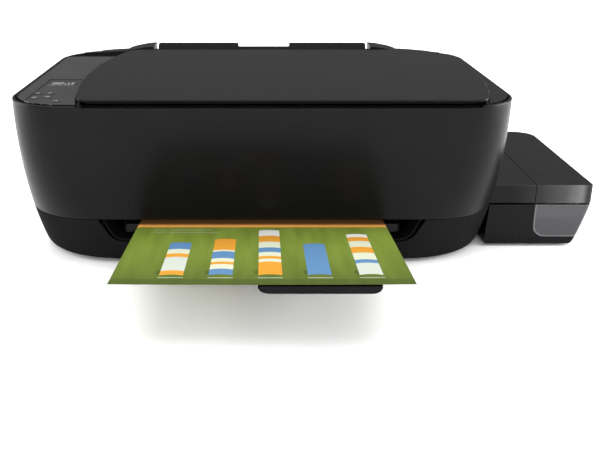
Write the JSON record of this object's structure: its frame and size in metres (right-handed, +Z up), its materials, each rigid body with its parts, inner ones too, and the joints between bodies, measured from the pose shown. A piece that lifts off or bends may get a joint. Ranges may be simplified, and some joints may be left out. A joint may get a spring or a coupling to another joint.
{
  "type": "inkjet printer",
  "caption": "All-in-one inkjet printer with a flatbed scanner under a hinged lid, a rear paper feed, a front outlet holding a printed sheet, and a refillable ink tank at its right side.",
  "frame": {"origin": "on the desk, under the middle of the bounding box", "axes": "+X to the right as seen from the front, +Y to the rear, +Z up"},
  "size_m": [0.524, 0.456, 0.158],
  "materials": {
    "black_plastic": "moulded black plastic, fine satin texture",
    "lid_plastic": "charcoal plastic, fine matt texture",
    "panel_plastic": "dark grey plastic, semi-gloss",
    "lcd_window": "black glossy display window",
    "glass": "clear float glass",
    "white_pad": "white foam-backed sheet",
    "rubber": "black rubber",
    "steel": "zinc-plated sheet steel",
    "engine_plastic": "dark grey engineering plastic",
    "gear_plastic": "natural acetal",
    "circuit_board": "green solder mask",
    "smoked_window": "smoked translucent plastic",
    "tube_silicone": "milky silicone tube",
    "printed_paper": "printed plain paper",
    "black_ink": "translucent tank filled with black ink",
    "cyan_ink": "translucent tank filled with cyan ink",
    "magenta_ink": "translucent tank filled with magenta ink",
    "yellow_ink": "translucent tank filled with yellow ink"
  },
  "bodies": {
    "printer": {"base_tray": "black_plastic", "upper_housing": "black_plastic", "paper_chute": "black_plastic", "output_tray": "black_plastic", "tank_case": "black_plastic", "power_supply": "black_plastic", "power_inlet": "black_plastic", "scanner_deck": "lid_plastic", "tank_cover": "lid_plastic", "control_panel": "panel_plastic", "lcd_display": "lcd_window", "scanner_glass": "glass", "foot_front_left": "rubber", "foot_front_right": "rubber", "foot_rear_left": "rubber", "foot_rear_right": "rubber", "drive_belt": "rubber", "carriage_rail": "steel", "side_frame": "steel", "carriage_motor": "steel", "feed_motor": "steel", "usb_port": "steel", "platen": "engine_plastic", "service_station": "engine_plastic", "main_board": "circuit_board", "tank_window": "smoked_window", "ink_tubes": "tube_silicone", "black_ink_tank": "black_ink", "cyan_ink_tank": "cyan_ink", "magenta_ink_tank": "magenta_ink", "yellow_ink_tank": "yellow_ink"},
    "lid": {"scanner_lid": "lid_plastic", "lid_pad": "white_pad"},
    "scan_bar": {"scan_bar": "engine_plastic"},
    "input_tray": {"input_tray": "black_plastic"},
    "paper_guide_left": {"paper_guide_left": "black_plastic"},
    "paper_guide_right": {"paper_guide_right": "black_plastic"},
    "tray_extender": {"tray_extender": "black_plastic"},
    "printed_sheet": {"printed_sheet": "printed_paper"},
    "tank_lid": {"tank_lid": "lid_plastic"},
    "carriage": {"printhead_carriage": "engine_plastic", "black_printhead": "black_plastic", "color_printhead": "black_plastic"},
    "printhead_latch": {"printhead_latch": "engine_plastic"},
    "motor_pulley": {"motor_pulley": "gear_plastic"},
    "idler_pulley": {"idler_pulley": "gear_plastic"},
    "feed_roller": {"feed_roller": "rubber", "feed_gear": "gear_plastic"},
    "idler_gear": {"idler_gear": "gear_plastic"},
    "output_roller": {"output_roller": "rubber", "output_gear": "gear_plastic"},
    "black_tank_cap": {"black_tank_cap": "rubber"},
    "cyan_tank_cap": {"cyan_tank_cap": "rubber"},
    "magenta_tank_cap": {"magenta_tank_cap": "rubber"},
    "yellow_tank_cap": {"yellow_tank_cap": "rubber"},
    "power_button": {"power_button": "panel_plastic"},
    "cancel_button": {"cancel_button": "panel_plastic"},
    "resume_button": {"resume_button": "panel_plastic"},
    "black_copy_button": {"black_copy_button": "panel_plastic"},
    "color_copy_button": {"color_copy_button": "panel_plastic"}
  },
  "joints": [
    {"name": "lid_hinge", "type": "hinge", "parent": "printer", "child": "lid", "pos_m": [-0.0265, 0.1865, 0.1479], "axis": [-1, 0, 0], "range_deg": [0, 78]},
    {"name": "scan_bar_slide", "type": "slide", "parent": "printer", "child": "scan_bar", "axis": [1, 0, 0], "range_m": [0, 0.295]},
    {"name": "input_tray_slide", "type": "slide", "parent": "printer", "child": "input_tray", "axis": [0, 0.2924, 0.9563], "range_m": [0, 0.1]},
    {"name": "paper_guide_left_slide", "type": "slide", "parent": "input_tray", "child": "paper_guide_left", "axis": [1, 0, 0], "range_m": [0, 0.055]},
    {"name": "paper_guide_right_slide", "type": "slide", "parent": "input_tray", "child": "paper_guide_right", "axis": [1, 0, 0], "range_m": [-0.055, 0]},
    {"name": "tray_extender_slide", "type": "slide", "parent": "printer", "child": "tray_extender", "axis": [0, -0.9961, 0.088], "range_m": [-0.15, 0]},
    {"name": "printed_sheet_slide", "type": "slide", "parent": "printer", "child": "printed_sheet", "axis": [0, -0.9961, 0.088], "range_m": [0, 0.1]},
    {"name": "tank_lid_hinge", "type": "hinge", "parent": "printer", "child": "tank_lid", "pos_m": [0.2091, 0.091, 0.061], "axis": [0, -1, 0], "range_deg": [0, 90]},
    {"name": "black_cap_hinge", "type": "hinge", "parent": "printer", "child": "black_tank_cap", "pos_m": [0.2205, 0.01506, 0.0444], "axis": [0, -1, 0], "range_deg": [0, 90]},
    {"name": "cyan_cap_hinge", "type": "hinge", "parent": "printer", "child": "cyan_tank_cap", "pos_m": [0.2205, 0.06168, 0.0444], "axis": [0, -1, 0], "range_deg": [0, 90]},
    {"name": "magenta_cap_hinge", "type": "hinge", "parent": "printer", "child": "magenta_tank_cap", "pos_m": [0.2205, 0.10831, 0.0444], "axis": [0, -1, 0], "range_deg": [0, 90]},
    {"name": "yellow_cap_hinge", "type": "hinge", "parent": "printer", "child": "yellow_tank_cap", "pos_m": [0.2205, 0.15493, 0.0444], "axis": [0, -1, 0], "range_deg": [0, 90]},
    {"name": "power_button_press", "type": "slide", "parent": "printer", "child": "power_button", "axis": [0, 0, -1], "range_m": [0, 0.0008], "stiffness_N_per_m": 300, "springref_m": -0.0005},
    {"name": "cancel_button_press", "type": "slide", "parent": "printer", "child": "cancel_button", "axis": [0, 0, -1], "range_m": [0, 0.0008], "stiffness_N_per_m": 300, "springref_m": -0.0005},
    {"name": "resume_button_press", "type": "slide", "parent": "printer", "child": "resume_button", "axis": [0, 0, -1], "range_m": [0, 0.0008], "stiffness_N_per_m": 300, "springref_m": -0.0005},
    {"name": "black_copy_button_press", "type": "slide", "parent": "printer", "child": "black_copy_button", "axis": [0, 0, -1], "range_m": [0, 0.0008], "stiffness_N_per_m": 300, "springref_m": -0.0005},
    {"name": "color_copy_button_press", "type": "slide", "parent": "printer", "child": "color_copy_button", "axis": [0, 0, -1], "range_m": [0, 0.0008], "stiffness_N_per_m": 300, "springref_m": -0.0005},
    {"name": "carriage_slide", "type": "slide", "parent": "printer", "child": "carriage", "axis": [1, 0, 0], "range_m": [-0.25, 0]},
    {"name": "printhead_latch_hinge", "type": "hinge", "parent": "carriage", "child": "printhead_latch", "pos_m": [0.1035, 0.0124, 0.0845], "axis": [1, 0, 0], "range_deg": [0, 25]},
    {"name": "motor_pulley_spin", "type": "hinge", "parent": "printer", "child": "motor_pulley", "pos_m": [0.1295, 0.0765, 0.092], "axis": [0, 1, 0], "continuous": true},
    {"name": "idler_pulley_spin", "type": "hinge", "parent": "printer", "child": "idler_pulley", "pos_m": [-0.2225, 0.0765, 0.092], "axis": [0, 1, 0], "continuous": true},
    {"name": "feed_roller_spin", "type": "hinge", "parent": "printer", "child": "feed_roller", "pos_m": [-0.1895, 0.0685, 0.05], "axis": [1, 0, 0], "continuous": true},
    {"name": "idler_gear_spin", "type": "hinge", "parent": "printer", "child": "idler_gear", "pos_m": [-0.1895, 0.0355, 0.05], "axis": [1, 0, 0], "continuous": true},
    {"name": "output_roller_spin", "type": "hinge", "parent": "printer", "child": "output_roller", "pos_m": [-0.1895, 0.0025, 0.05], "axis": [1, 0, 0], "continuous": true}
  ],
  "couplings": [
    {"joint": "paper_guide_right_slide", "follows": "paper_guide_left_slide", "ratio": -1},
    {"joint": "motor_pulley_spin", "follows": "carriage_slide", "rad_per_m": -149.25},
    {"joint": "idler_pulley_spin", "follows": "carriage_slide", "rad_per_m": -149.25},
    {"joint": "idler_gear_spin", "follows": "feed_roller_spin", "ratio": -0.83333},
    {"joint": "output_roller_spin", "follows": "feed_roller_spin", "ratio": 1},
    {"joint": "black_cap_hinge", "follows": "tank_lid_hinge", "ratio": 1},
    {"joint": "cyan_cap_hinge", "follows": "tank_lid_hinge", "ratio": 1},
    {"joint": "magenta_cap_hinge", "follows": "tank_lid_hinge", "ratio": 1},
    {"joint": "yellow_cap_hinge", "follows": "tank_lid_hinge", "ratio": 1}
  ]
}
